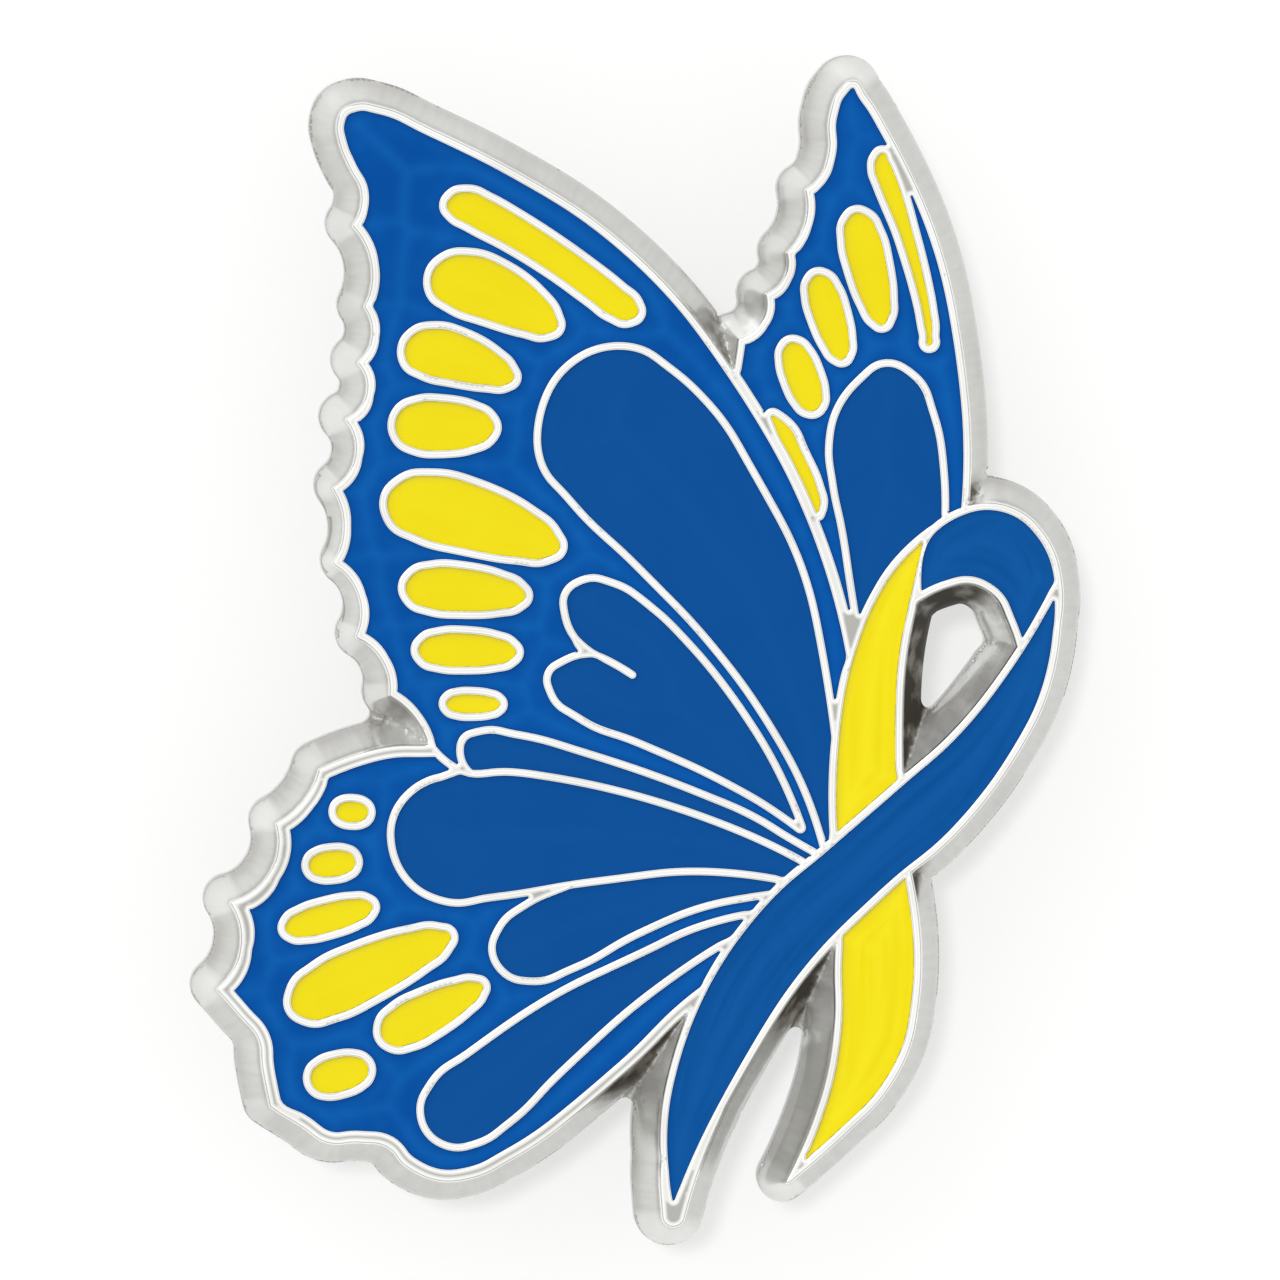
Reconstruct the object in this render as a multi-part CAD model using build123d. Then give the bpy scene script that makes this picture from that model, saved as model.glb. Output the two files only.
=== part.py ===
from build123d import *
import cmath
import math
import os

# Overall sizes, in millimetres
pin_height = 32.0
pin_width = 24.0
metal_thickness = 2.1

# Cast body: a straight foot, then a wall that leans in to the face
wall_flare = 0.63
foot_height = 0.6
corner_radius = 0.05

# Raised metal lines and the enamel between them
line_width = 0.2
hindwing_rim = 0.32
step_line = 0.1
enamel_recess = 0.35
enamel_level = 0.05
fit_gap = 0.02

# How outlines are drawn: turns under smooth_turn (radians) count as smooth; eggs are shaped on a face
# of this width by height, then stretched with it
smooth_turn = 0.12
egg_points = 12
egg_squareness = 0.88
egg_face = 0.74

# Tack post and clutch, one turned piece
post_radius = 0.55
post_seat = 0.6
cloth_space = 2.5
clutch_radius = 4.8
clutch_foot_radius = 4.2
clutch_collar_radius = 1.9
clutch_collar_height = 1.0
clutch_flange = 0.8
clutch_height = 3.2

face_width = pin_width - 2 * wall_flare
face_height = pin_height - 2 * wall_flare
back_depth = clutch_height + clutch_collar_height + cloth_space
face_level = back_depth + metal_thickness


# Outlines. A point is (across, up): shares of the width and height of the face, from its lower left.
# A point in the face is a complex number, and a direction is one of length 1. An arc is a tuple of
# start, direction there, end, direction there. Outlines go round counter-clockwise.
def on_face(across, up):
    return complex((across - 0.5) * face_width, (up - 0.5) * face_height)


def unit(vector):
    return vector / abs(vector)


def dot(first, second):
    return (first * second.conjugate()).real


def two_arcs(start, leave, end, arrive):
    """Two arcs that meet smoothly and take the given directions at the ends."""
    way = end - start
    along = dot(way, leave + arrive)
    spread = 2 * (1 - dot(leave, arrive))
    if spread < 1e-6:
        reach = abs(way) ** 2 / (2 * along)
    else:
        reach = (math.sqrt(along ** 2 + spread * abs(way) ** 2) - along) / spread
    first_knee = start + reach * leave
    second_knee = end - reach * arrive
    middle = (first_knee + second_knee) / 2
    across = unit(second_knee - first_knee)
    return [(start, leave, middle, across), (middle, across, end, arrive)]


def curve(*rows, closed=False):
    """A smooth curve through points (across, up); a closed one is smooth where its ends meet too."""
    points = [on_face(*row) for row in rows]
    steps = [after - before for before, after in zip(points, points[1:])]
    inner = []
    for before, after in zip(steps, steps[1:] + steps[:1]):
        inner.append(unit(unit(before) / abs(before) + unit(after) / abs(after)))
    if len(steps) == 1:
        directions = [unit(steps[0])] * 2
    elif closed:
        directions = inner[-1:] + inner
    else:
        first = unit(steps[0]) ** 2 / inner[0]
        last = unit(steps[-1]) ** 2 / inner[-2]
        directions = [first] + inner[:-1] + [last]
    arcs = []
    for index in range(len(steps)):
        arcs += two_arcs(
            points[index], directions[index], points[index + 1], directions[index + 1]
        )
    return arcs


def bays(*rows):
    """Scalloped edge through points (across, up, depth of the bay after it as a share of its chord)."""
    arcs = []
    for (across, up, depth), following in zip(rows, rows[1:]):
        start = on_face(across, up)
        end = on_face(*following[:2])
        swing = cmath.rect(1, 2 * math.atan(2 * depth))
        chord = unit(end - start)
        arcs += two_arcs(start, chord * swing, end, chord / swing)
    return arcs


def egg(across, up, end_across, end_up, fatness, taper, bend):
    """An egg along its axis: width by length, how much its far end narrows, how far its middle bends."""
    blunt = complex(across * egg_face, up)
    axis = complex(end_across * egg_face, end_up) - blunt
    rows = []
    for step in range(egg_points):
        angle = 2 * math.pi * step / egg_points
        along = math.copysign(abs(math.cos(angle)) ** egg_squareness, -math.cos(angle))
        side = math.copysign(abs(math.sin(angle)) ** egg_squareness, -math.sin(angle))
        aside = side * fatness / 2 * (1 - taper * along) + bend * (1 - along ** 2)
        point = blunt + axis * complex((1 + along) / 2, aside)
        rows.append((point.real / egg_face, point.imag))
    return curve(*rows, rows[0], closed=True)


def drawn(start, leave, end, arrive):
    """The edge of one arc."""
    way = end - start
    lean = (cmath.phase(leave / way) - cmath.phase(arrive / way)) / 2
    middle = (start + end) / 2 + way * 0.5j * math.tan(lean / 2)
    a, m, b = [(point.real, point.imag) for point in (start, middle, end)]
    if abs(lean) < 1e-3:
        return Line(a, b)
    return ThreePointArc(a, m, b)


def ring(arcs, grow=0.0, corner=corner_radius):
    """The closed outline moved outward by grow, with its outer corners rounded."""
    starts = [None] * len(arcs)
    ends = [None] * len(arcs)
    corners = [None] * len(arcs)
    for index, (_, _, point, arrive) in enumerate(arcs):
        following = (index + 1) % len(arcs)
        leave = arcs[following][1]
        turn = cmath.phase(leave / arrive)
        out_before, out_after = arrive * -1j, leave * -1j
        if abs(turn) < smooth_turn:
            ends[index] = starts[following] = point + unit(out_before + out_after) * grow
        elif turn > 0 and corner + grow > 0:
            setback = corner * math.tan(turn / 2)
            ends[index] = point - setback * arrive + out_before * grow
            starts[following] = point + setback * leave + out_after * grow
            corners[index] = (ends[index], arrive, starts[following], leave)
        else:
            mitre = (out_before + out_after) / (1 + dot(out_before, out_after))
            ends[index] = starts[following] = point + mitre * grow
    edges = []
    for index, (_, leave, _, arrive) in enumerate(arcs):
        edges.append(drawn(starts[index], leave, ends[index], arrive))
        if corners[index]:
            edges.append(drawn(*corners[index]))
    return Wire(edges)


def area(arcs, grow=0.0, corner=corner_radius):
    return Face(ring(arcs, grow, corner))


def largest(region):
    return max(region.faces(), key=lambda face: face.area)


# Cards: the flat shapes that make up the figure, at the outer edge of their rims. The two tips are
# blunt ends of bare metal beyond the ribbon's enamel. The forewing's wall leans out less at some of
# its scallops, so its foot is drawn in there.
forewing_scallops = [  # across, up, depth of the bay, share of the width that the foot is drawn in
    (0.161, 0.875, 0.16, 0),
    (0.175, 0.804, 0.20, 0),
    (0.167, 0.756, 0.27, 0),
    (0.152, 0.707, 0.24, 0),
    (0.137, 0.647, 0.15, 0.010),
    (0.137, 0.581, 0.20, 0.018),
    (0.164, 0.517, 0.17, 0.008),
    (0.204, 0.466, 0.11, 0),
    (0.251, 0.419, 0, 0),
]
forewing_rest = (
    curve(
        (0.251, 0.419),
        (0.280, 0.400),
        (0.358, 0.395),
        (0.528, 0.367),
        (0.691, 0.316),
        (0.756, 0.286),
    )
    + curve(
        (0.756, 0.286),
        (0.765, 0.392),
        (0.749, 0.514),
        (0.693, 0.641),
        (0.616, 0.741),
        (0.530, 0.824),
        (0.452, 0.876),
        (0.339, 0.928),
        (0.257, 0.958),
        (0.196, 0.978),
        (0.167, 0.981),
        (0.149, 0.975),
        (0.143, 0.964),
        (0.147, 0.944),
        (0.158, 0.925),
        (0.171, 0.906),
        (0.161, 0.875),
    )
)
forewing = bays(*[row[:3] for row in forewing_scallops]) + forewing_rest
forewing_foot = (
    bays(*[(across + drawn_in, up, depth) for across, up, depth, drawn_in in forewing_scallops])
    + forewing_rest
)
far_wing = (
    bays((0.695, 0.905, 0.14), (0.673, 0.850, 0.20), (0.648, 0.814, 0.22), (0.616, 0.776, 0))
    + curve((0.616, 0.776), (0.610, 0.746), (0.603, 0.720))
    + curve((0.603, 0.720), (0.680, 0.528))
    + curve((0.680, 0.528), (0.780, 0.463))
    + curve((0.780, 0.463), (0.819, 0.570))
    + curve((0.819, 0.570), (0.888, 0.621))
    + curve(
        (0.888, 0.621),
        (0.891, 0.688),
        (0.884, 0.749),
        (0.852, 0.861),
        (0.796, 0.952),
        (0.769, 0.985),
        (0.751, 1.000),
        (0.734, 0.990),
        (0.724, 0.970),
        (0.722, 0.935),
        (0.715, 0.919),
        (0.695, 0.905),
    )
)
hindwing = (
    curve((0.304, 0.423), (0.250, 0.423), (0.204, 0.422), (0.165, 0.415), (0.121, 0.402))
    + bays((0.121, 0.402, 0.11), (0.070, 0.355, 0.22), (0.015, 0.287, 0.20), (0, 0.211, 0))
    + curve((0, 0.211), (0.026, 0.189), (0.049, 0.168), (0.054, 0.141), (0.063, 0.108))
    + curve(
        (0.063, 0.108),
        (0.097, 0.092),
        (0.131, 0.076),
        (0.169, 0.076),
        (0.198, 0.073),
        (0.225, 0.054),
        (0.262, 0.042),
        (0.306, 0.045),
        (0.350, 0.061),
        (0.475, 0.131),
        (0.577, 0.200),
        (0.661, 0.239),
    )
    + curve((0.661, 0.239), (0.753, 0.302))
    + curve((0.753, 0.302), (0.576, 0.384))
    + curve((0.576, 0.384), (0.304, 0.423))
)
leg = (
    curve(
        (0.849, 0.614), (0.798, 0.581), (0.768, 0.546), (0.745, 0.502), (0.724, 0.404), (0.731, 0.299)
    )
    + curve((0.731, 0.299), (0.819, 0.326))
    + curve((0.819, 0.326), (0.811, 0.426), (0.816, 0.500), (0.832, 0.558), (0.849, 0.614))
)
loop = (
    curve(
        (0.816, 0.537), (0.861, 0.557), (0.890, 0.561), (0.918, 0.551), (0.937, 0.525), (0.950, 0.492)
    )
    + curve((0.950, 0.492), (0.985, 0.497))
    + curve(
        (0.985, 0.497),
        (1.001, 0.547),
        (0.980, 0.603),
        (0.953, 0.623),
        (0.912, 0.632),
        (0.869, 0.624),
        (0.842, 0.610),
    )
    + curve((0.842, 0.610), (0.816, 0.537))
)
band = (
    curve(
        (0.995, 0.571),
        (0.944, 0.503),
        (0.868, 0.431),
        (0.802, 0.388),
        (0.725, 0.339),
        (0.646, 0.288),
        (0.584, 0.227),
        (0.542, 0.157),
        (0.524, 0.093),
        (0.539, 0),
    )
    + curve(
        (0.539, 0),
        (0.573, 0.063),
        (0.614, 0.122),
        (0.710, 0.230),
        (0.795, 0.292),
        (0.873, 0.341),
        (0.939, 0.402),
        (0.983, 0.465),
        (0.995, 0.571),
    )
)
band_tip = (
    curve((0.532, 0.085), (0.5235, 0.050), (0.525, 0.020), (0.5265, 0.007))
    + curve((0.5265, 0.007), (0.540, 0), (0.553, 0.008))
    + curve((0.553, 0.008), (0.563, 0.034), (0.581, 0.071), (0.600, 0.103), (0.614, 0.130))
    + curve((0.614, 0.130), (0.532, 0.085))
)
tail = (
    curve((0.736, 0.290), (0.730, 0.231), (0.730, 0.179), (0.721, 0.132), (0.704, 0.091), (0.668, 0.033))
    + curve(
        (0.668, 0.033),
        (0.742, 0.079),
        (0.788, 0.113),
        (0.819, 0.154),
        (0.831, 0.199),
        (0.823, 0.302),
        (0.808, 0.343),
    )
    + curve((0.808, 0.343), (0.736, 0.290))
)
tail_tip = (
    curve((0.722, 0.112), (0.688, 0.070), (0.6655, 0.041))
    + curve((0.6655, 0.041), (0.6725, 0.0335))
    + curve((0.6725, 0.0335), (0.706, 0.0505), (0.742, 0.0775), (0.765, 0.110))
    + curve((0.765, 0.110), (0.722, 0.112))
)

# Cells: outlines at the middle of the raised line round each
forewing_teardrop = curve(
    (0.722, 0.316),
    (0.733, 0.391),
    (0.720, 0.483),
    (0.688, 0.582),
    (0.639, 0.653),
    (0.587, 0.714),
    (0.541, 0.747),
    (0.495, 0.768),
    (0.454, 0.768),
    (0.408, 0.748),
    (0.383, 0.713),
    (0.383, 0.669),
    (0.420, 0.633),
    (0.500, 0.575),
    (0.576, 0.516),
    (0.636, 0.458),
    (0.701, 0.369),
    (0.722, 0.316),
)
forewing_hook = curve(
    (0.694, 0.344),
    (0.661, 0.402),
    (0.618, 0.454),
    (0.564, 0.505),
    (0.515, 0.541),
    (0.473, 0.562),
    (0.436, 0.567),
    (0.412, 0.555),
    (0.412, 0.533),
    (0.444, 0.502),
) + curve(
    (0.444, 0.502),
    (0.413, 0.497),
    (0.391, 0.484),
    (0.396, 0.465),
    (0.431, 0.444),
    (0.500, 0.423),
    (0.589, 0.393),
    (0.651, 0.367),
    (0.694, 0.344),
)
hook_spur = curve((0.444, 0.502), (0.469, 0.493), (0.491, 0.483))
forewing_strip = (
    curve(
        (0.709, 0.326),
        (0.676, 0.340),
        (0.641, 0.356),
        (0.559, 0.383),
        (0.445, 0.413),
        (0.359, 0.431),
        (0.313, 0.435),
        (0.291, 0.428),
        (0.288, 0.413),
        (0.302, 0.397),
    )
    + curve((0.302, 0.397), (0.441, 0.374), (0.594, 0.343), (0.719, 0.304))
    + curve((0.719, 0.304), (0.709, 0.326))
)
hindwing_upper = (
    curve(
        (0.265, 0.395),
        (0.232, 0.384),
        (0.209, 0.361),
        (0.208, 0.330),
        (0.232, 0.300),
        (0.272, 0.286),
        (0.329, 0.290),
        (0.448, 0.303),
        (0.572, 0.311),
        (0.706, 0.296),
    )
    + curve((0.706, 0.296), (0.750, 0.305))
    + curve((0.750, 0.305), (0.600, 0.385), (0.420, 0.415), (0.265, 0.395))
)
hindwing_middle = curve(
    (0.706, 0.294),
    (0.571, 0.322),
    (0.406, 0.297),
    (0.369, 0.285),
    (0.335, 0.265),
    (0.325, 0.243),
    (0.342, 0.222),
    (0.376, 0.216),
    (0.424, 0.228),
    (0.498, 0.257),
    (0.571, 0.279),
    (0.648, 0.290),
    (0.706, 0.294),
)
hindwing_lower = curve(
    (0.676, 0.276),
    (0.634, 0.274),
    (0.571, 0.263),
    (0.498, 0.239),
    (0.392, 0.201),
    (0.301, 0.156),
    (0.255, 0.130),
    (0.240, 0.106),
    (0.249, 0.084),
    (0.275, 0.072),
    (0.312, 0.076),
    (0.348, 0.094),
    (0.406, 0.136),
    (0.511, 0.204),
    (0.614, 0.254),
    (0.676, 0.276),
)
far_wing_teardrop = curve(
    (0.860, 0.609),
    (0.860, 0.653),
    (0.849, 0.705),
    (0.827, 0.741),
    (0.792, 0.754),
    (0.754, 0.736),
    (0.731, 0.711),
    (0.723, 0.680),
    (0.728, 0.647),
    (0.739, 0.607),
    (0.749, 0.559),
    (0.761, 0.505),
) + curve((0.761, 0.505), (0.806, 0.531), (0.860, 0.609))

# Spots at the edge of their enamel: across, up, end across, end up, fatness, taper, bend
forewing_spots = [
    (0.255, 0.834, 0.402, 0.785, 0.40, 0.28, 0.05),
    (0.223, 0.770, 0.351, 0.741, 0.40, 0.30, 0.04),
    (0.211, 0.702, 0.328, 0.699, 0.49, 0.15, 0),
    (0.202, 0.638, 0.405, 0.593, 0.35, 0.25, 0.03),
    (0.223, 0.561, 0.365, 0.552, 0.35, 0.20, 0.01),
    (0.238, 0.506, 0.354, 0.503, 0.34, 0.12, 0.01),
    (0.271, 0.459, 0.335, 0.458, 0.35, 0.10, 0),
]
hindwing_spots = [
    (0.141, 0.366, 0.179, 0.364, 0.65, 0, 0),
    (0.109, 0.318, 0.164, 0.322, 0.56, 0, 0),
    (0.081, 0.263, 0.184, 0.283, 0.32, 0.05, 0),
    (0.089, 0.194, 0.276, 0.257, 0.295, 0.27, 0.01),
    (0.195, 0.168, 0.314, 0.213, 0.345, 0.30, 0),
    (0.111, 0.130, 0.179, 0.142, 0.58, 0.05, 0),
]
far_wing_spots = [
    (0.754, 0.885, 0.787, 0.787, 0.31, 0.20, 0),
    (0.708, 0.831, 0.740, 0.757, 0.345, 0.15, 0),
    (0.6765, 0.772, 0.7065, 0.7125, 0.43, 0, 0),
]

# Long thin spots along a wing's front edge, and the sliver low on the far wing
forewing_long_spot = curve(
    (0.2975, 0.876),
    (0.346, 0.857),
    (0.398, 0.833),
    (0.439, 0.811),
    (0.465, 0.797),
    (0.485, 0.792),
    (0.498, 0.798),
    (0.495, 0.807),
    (0.476, 0.820),
    (0.438, 0.842),
    (0.398, 0.863),
    (0.358, 0.882),
    (0.325, 0.896),
    (0.299, 0.904),
    (0.279, 0.901),
    (0.272, 0.892),
    (0.279, 0.884),
    (0.2975, 0.876),
    closed=True,
)
far_wing_long_spot = curve(
    (0.787, 0.937),
    (0.778, 0.931),
    (0.777, 0.922),
    (0.783, 0.909),
    (0.793, 0.891),
    (0.805, 0.870),
    (0.815, 0.848),
    (0.824, 0.826),
    (0.832, 0.803),
    (0.838, 0.780),
    (0.842, 0.769),
    (0.845, 0.780),
    (0.842, 0.803),
    (0.836, 0.826),
    (0.829, 0.848),
    (0.821, 0.870),
    (0.8125, 0.893),
    (0.803, 0.914),
    (0.794, 0.929),
    (0.787, 0.937),
    closed=True,
)
far_wing_sliver = curve((0.653, 0.710), (0.683, 0.658), (0.708, 0.621)) + curve(
    (0.708, 0.621), (0.713, 0.630), (0.708, 0.648), (0.692, 0.675), (0.675, 0.699), (0.653, 0.710)
)


def spur_area(gap):
    """The short raised line inside the hook cell, with a round end."""
    half = line_width / 2 + gap
    back = [(end, -arrive, start, -leave) for start, leave, end, arrive in reversed(hook_spur)]
    tip, tip_way = hook_spur[-1][2], hook_spur[-1][3]
    root, root_way = hook_spur[0][0], hook_spur[0][1]
    edges = []
    for start, leave, end, arrive in hook_spur + back:
        edges.append(drawn(start - 1j * leave * half, leave, end - 1j * arrive * half, arrive))
    edges.append(drawn(tip - 1j * tip_way * half, tip_way, tip + 1j * tip_way * half, -tip_way))
    edges.append(drawn(root + 1j * root_way * half, -root_way, root - 1j * root_way * half, root_way))
    return Face(Wire(edges))


def enamel_areas(gap):
    """Flat shape of each enamel, smaller all round than its recess by gap."""
    beside_line = line_width / 2 + gap
    beside_rim = line_width + gap
    inside = {}

    def seen(card, rim, *above):
        """What shows of a card inside its rim, past the cards that lie over it."""
        region = area(card, -rim - gap)
        for other in above:
            region = region - area(other, gap)
        return region

    inside["ribbon_blue_band"] = seen(band, line_width)
    inside["ribbon_blue_loop"] = seen(loop, line_width, band)
    inside["ribbon_yellow_leg"] = seen(leg, line_width, band, loop)
    inside["ribbon_yellow_tail"] = seen(tail, line_width, band)
    forewing_inside = seen(forewing, line_width, band, leg)
    hindwing_inside = seen(hindwing, hindwing_rim, band, leg, forewing)
    far_wing_inside = seen(far_wing, line_width, leg, loop) - area(forewing, step_line + gap)

    def fill(wing, wing_inside, cells, spots):
        """Cells are cut by those before them; the field is what all cells and spots leave."""
        field = wing_inside
        free = wing_inside
        for name, cell in cells.items():
            inside[f"{wing}_{name}"] = area(cell, -beside_line) & free
            free = free - area(cell, beside_line)
        field = free
        for number, spot in enumerate(spots, 1):
            inside[f"{wing}_spot_{number}"] = area(spot, -gap) & wing_inside
            field = field - area(spot, beside_rim)
        inside[f"{wing}_field"] = field

    fill(
        "forewing",
        forewing_inside,
        {"teardrop": forewing_teardrop, "hook_cell": forewing_hook, "strip_cell": forewing_strip},
        [forewing_long_spot] + [egg(*row) for row in forewing_spots],
    )
    fill(
        "far_wing",
        far_wing_inside,
        {"teardrop": far_wing_teardrop},
        [far_wing_long_spot] + [egg(*row) for row in far_wing_spots] + [far_wing_sliver],
    )
    fill(
        "hindwing",
        hindwing_inside,
        {"cell_1": hindwing_upper, "cell_2": hindwing_middle, "cell_3": hindwing_lower},
        [egg(*row) for row in hindwing_spots],
    )
    inside["forewing_hook_cell"] = inside["forewing_hook_cell"] - spur_area(gap)
    return {name: largest(region) for name, region in inside.items()}


def raised(card, foot_card):
    """One card as metal: the straight foot, then the wall that leans in to the face."""
    foot = ring(foot_card, wall_flare).moved(Location((0, 0, back_depth)))
    shoulder = ring(foot_card, wall_flare).moved(Location((0, 0, back_depth + foot_height)))
    top = ring(card).moved(Location((0, 0, face_level)))
    return Solid.make_loft([foot, shoulder, top], ruled=True)


# Plate
plate = raised(forewing, forewing_foot)
for card in (hindwing, far_wing, leg, loop, tail, tail_tip, band, band_tip):
    plate = plate + raised(card, card)
plate_top = Location((0, 0, face_level))
pockets = []
for pocket in enamel_areas(0).values():
    pockets.append(extrude(pocket.moved(plate_top), enamel_recess, dir=(0, 0, -1)))
plate = plate - pockets

# Enamel
enamel_depth = enamel_recess - enamel_level - fit_gap
enamel_top = Location((0, 0, face_level - enamel_level))
pieces = {}
for name, region in enamel_areas(fit_gap).items():
    pieces[name] = extrude(region.moved(enamel_top), enamel_depth, dir=(0, 0, -1))

# Post and clutch, under the point where the plate balances; the post is let into the plate's back
balance = plate.center(CenterOf.MASS)
below_balance = Location((balance.X, balance.Y, 0))
up = (Align.CENTER, Align.CENTER, Align.MIN)
seat = Cylinder(post_radius + fit_gap, post_seat, align=up)
pieces["plate"] = plate - seat.moved(below_balance * Location((0, 0, back_depth)))
collar_top = clutch_height + clutch_collar_height
post_top = back_depth + post_seat - fit_gap
half_section = Polyline(
    (0, 0),
    (clutch_foot_radius, 0),
    (clutch_radius, clutch_flange),
    (clutch_radius, clutch_height - clutch_flange),
    (clutch_foot_radius, clutch_height),
    (clutch_collar_radius, clutch_height),
    (clutch_collar_radius, collar_top),
    (post_radius, collar_top),
    (post_radius, post_top),
    (0, post_top),
    close=True,
)
pin_back = revolve(Plane.XZ * make_face(half_section), Axis.Z)
pieces["pin_back"] = pin_back.moved(below_balance)

# The origin is under the middle of the whole
middle = plate.bounding_box().center()
to_origin = Location((-middle.X, -middle.Y, 0))
os.makedirs("parts", exist_ok=True)
for name, piece in pieces.items():
    export_step(piece.moved(to_origin), f"parts/{name}.step")
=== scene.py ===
import bpy
import math
import numpy as np
from mathutils import Matrix, Vector
from mathutils.geometry import delaunay_2d_cdt
from mathutils.kdtree import KDTree


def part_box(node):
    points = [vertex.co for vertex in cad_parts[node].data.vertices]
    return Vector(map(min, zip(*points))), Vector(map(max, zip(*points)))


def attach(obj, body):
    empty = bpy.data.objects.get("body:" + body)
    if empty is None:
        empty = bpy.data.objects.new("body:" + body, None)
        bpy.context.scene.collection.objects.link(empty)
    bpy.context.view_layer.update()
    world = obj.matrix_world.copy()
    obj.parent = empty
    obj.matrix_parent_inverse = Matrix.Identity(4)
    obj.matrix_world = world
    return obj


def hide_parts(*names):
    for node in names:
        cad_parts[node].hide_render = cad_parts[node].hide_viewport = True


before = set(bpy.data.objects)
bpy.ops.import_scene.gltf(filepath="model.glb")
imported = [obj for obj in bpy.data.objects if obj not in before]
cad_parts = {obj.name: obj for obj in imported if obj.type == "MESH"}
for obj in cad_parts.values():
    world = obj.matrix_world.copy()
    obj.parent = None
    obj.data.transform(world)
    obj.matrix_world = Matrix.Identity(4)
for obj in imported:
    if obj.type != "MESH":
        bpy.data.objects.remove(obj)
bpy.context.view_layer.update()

# Sizes are in millimetres; a place on the pin's face is a complex number
MM = 0.001
face_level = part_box("plate")[1].z / MM
back_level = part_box("plate")[0].z / MM
enamel_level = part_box("forewing_field")[1].z / MM

# Metal: rounded edges of the raised lines, then the wall that leans out from the rim
edge_round = 0.05
edge_drop = 0.028
wall_profile = [  # outward from the rim, down from the face
    (0.000, 0.028),
    (0.030, 0.100),
    (0.055, 0.145),
    (0.085, 0.200),
    (0.130, 0.295),
    (0.200, 0.440),
    (0.330, 0.690),
    (0.440, 0.890),
    (0.500, 1.010),
    (0.550, 1.140),
    (0.590, 1.270),
    (0.620, 1.410),
    (0.630, 1.500),
]
foot_edge = 0.05
foot_height = 0.3
skirt_depth = 0.16
notch_round = 0.22
post_reach = 1

# The plate's mesh has rows of points alongside its edges
face_rows = (0.018, 0.05, 0.1, 0.16, 0.24, 0.32)
row_clear, wall_clear = 0.96, 0.98  # shares of its row's distance that a point keeps from every edge
foot_clear = 0.006
edge_tolerance = 1e-4

# Post and clutch, turned: radius, height above the clutch's foot
clutch_sides = 128
clutch_profile = [
    (0.00, 0.10),
    (3.20, 0.10),
    (3.55, 0.07),
    (3.75, 0.01),
    (3.95, 0.00),
    (4.12, 0.00),
    (4.24, 0.05),
    (4.74, 0.70),
    (4.79, 0.80),
    (4.80, 0.92),
    (4.80, 1.40),
    (4.74, 1.46),
    (4.74, 1.74),
    (4.80, 1.80),
    (4.80, 2.28),
    (4.79, 2.40),
    (4.74, 2.50),
    (4.26, 3.12),
    (4.16, 3.18),
    (4.02, 3.20),
    (2.72, 3.20),
    (2.60, 3.16),
    (2.50, 3.06),
    (2.20, 3.04),
    (2.02, 3.10),
    (1.93, 3.24),
    (1.90, 3.40),
    (1.90, 4.00),
    (1.87, 4.10),
    (1.80, 4.17),
    (1.70, 4.20),
    (0.80, 4.20),
    (0.68, 4.17),
    (0.58, 4.08),
    (0.55, 4.04),
    (0.55, 6.34),
    (0.58, 6.48),
    (0.66, 6.60),
    (0.80, 6.68),
    (0.55, 6.69),
    (0.55, 7.24),
    (0.51, 7.28),
    (0.00, 7.28),
]

# Painted light and shade of the plating, as a tone: 0 is the painted brown shade of a deep gap, 1 is white
top_tone = 1.0
# Painted reflection: wide flat tops turn grey in their middle, away from the lines' edges
middle_reflection_tone, middle_depth = 0.50, 0.075
# Painted shade on the band at the foot and on the pockets' skirts; the back is darker
foot_shade_tone, back_tone = 0.75, 0.62
painted_wall_shade = [  # painted shade of the wall, by how far down and which way it faces: share of the way down the wall, tone on the lower right sides, tone on the upper left
    (0.00, 0.78, 0.82),
    (0.10, 0.65, 0.73),
    (0.45, 0.65, 0.70),
    (0.75, 0.62, 0.55),
    (1.00, 0.60, 0.52),
]
upper_left_turn = 1.4  # how soon a turning wall takes the upper left sides' tone
# Painted shade: a dark crease on the wall just outside the rim, most on sides facing upper left
crease_run, crease_width, crease_depth, crease_turn = 0.06, 0.028, 0.38, 0.3
# Painted highlight: the wall is lighter round outward corners
corner_turn, corner_start, corner_highlight_tone = 0.9, 0.3, 0.85
corner_highlight_down = [  # painted highlight by the way down: share of the way down the wall, how much of the corner's tone is there
    (0.05, 0.0),
    (0.15, 1.0),
    (0.80, 0.8),
    (1.00, 0.0),
]
# Painted shade in shut-in gaps and holes: dark where the wall faces lower right, light grey where it faces
# upper left, darker at the very foot
gap_reaches, gap_ways = (0.8, 1.6, 2.4), 12  # how far and how many ways each place looks for metal
gap_share, gap_spread = 0.56, 0.07
gap_dark, gap_grey = 0.05, 0.90
gap_even, gap_turn = 0.5, 1.2
gap_down = [  # painted gap shade by the way down: share of the way down the wall, share of the gap's tone
    (0.00, 1.0),
    (0.90, 1.0),
    (0.97, 0.5),
]

# Radius of the sharp ends of the enamel
pocket_end = 0.035
ribbon_end = 0.03

# Enamel: sunk below the lines, climbing where it meets them
enamel_sink = 0.045
enamel_climb = 0.035
climb_width = 0.07
# Painted shadow of the lines on the enamel's upper-left edges
line_shadow_width = 0.045
# Painted highlight along the crest lines of the enamel, where its distance from the lines peaks
crest_rise, crest_from, crest_passes = 0.02, 0.08, 3
enamel_rows = (0.03, 0.08)
grid_step = 0.13

# Grain of the surfaces, in waves per metre
plating_cloud, clutch_cloud, enamel_cloud = 450, 700, 350
metal_grain, enamel_grain = 9000, 4000
gap_shade_patch, pebble = 1500, 2600
dull_when_dark = {"From Min": 0.45, "From Max": 0.0, "To Min": 0.0, "To Max": 0.5}


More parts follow.
